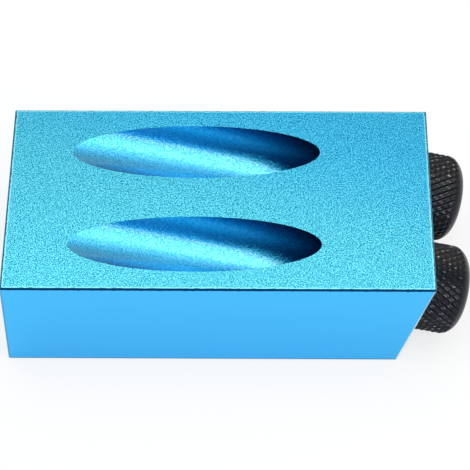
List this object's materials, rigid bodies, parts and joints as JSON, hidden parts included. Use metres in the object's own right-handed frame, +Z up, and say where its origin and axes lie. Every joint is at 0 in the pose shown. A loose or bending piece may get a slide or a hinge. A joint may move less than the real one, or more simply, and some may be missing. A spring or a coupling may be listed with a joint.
{
  "type": "pocket hole jig",
  "caption": "Pocket hole jig: slant-ended metal block with angled drill passages that open on its face as long ellipses, and knurled screw-in drill guide sleeves.",
  "frame": {"origin": "on the block's base, midway across its width and below the middle of its top face", "axes": "+X along the block towards the undercut end with the sleeves, +Y across the passages to the back, +Z up through the top face"},
  "size_m": [0.0795, 0.04, 0.02],
  "materials": {
    "blue_anodised": "bead-blasted, blue anodised",
    "black_steel": "black oxide, diamond knurl on the heads"
  },
  "bodies": {
    "block": {"jig_block": "blue_anodised"},
    "front_sleeve": {"guide_sleeve_front": "black_steel"},
    "back_sleeve": {"guide_sleeve_back": "black_steel"}
  },
  "joints": [
    {"name": "front_sleeve_out", "type": "slide", "parent": "block", "child": "front_sleeve", "axis": [0.9613, 0, -0.2756], "range_m": [0, 0.013]},
    {"name": "back_sleeve_out", "type": "slide", "parent": "block", "child": "back_sleeve", "axis": [0.9613, 0, -0.2756], "range_m": [0, 0.013]}
  ]
}
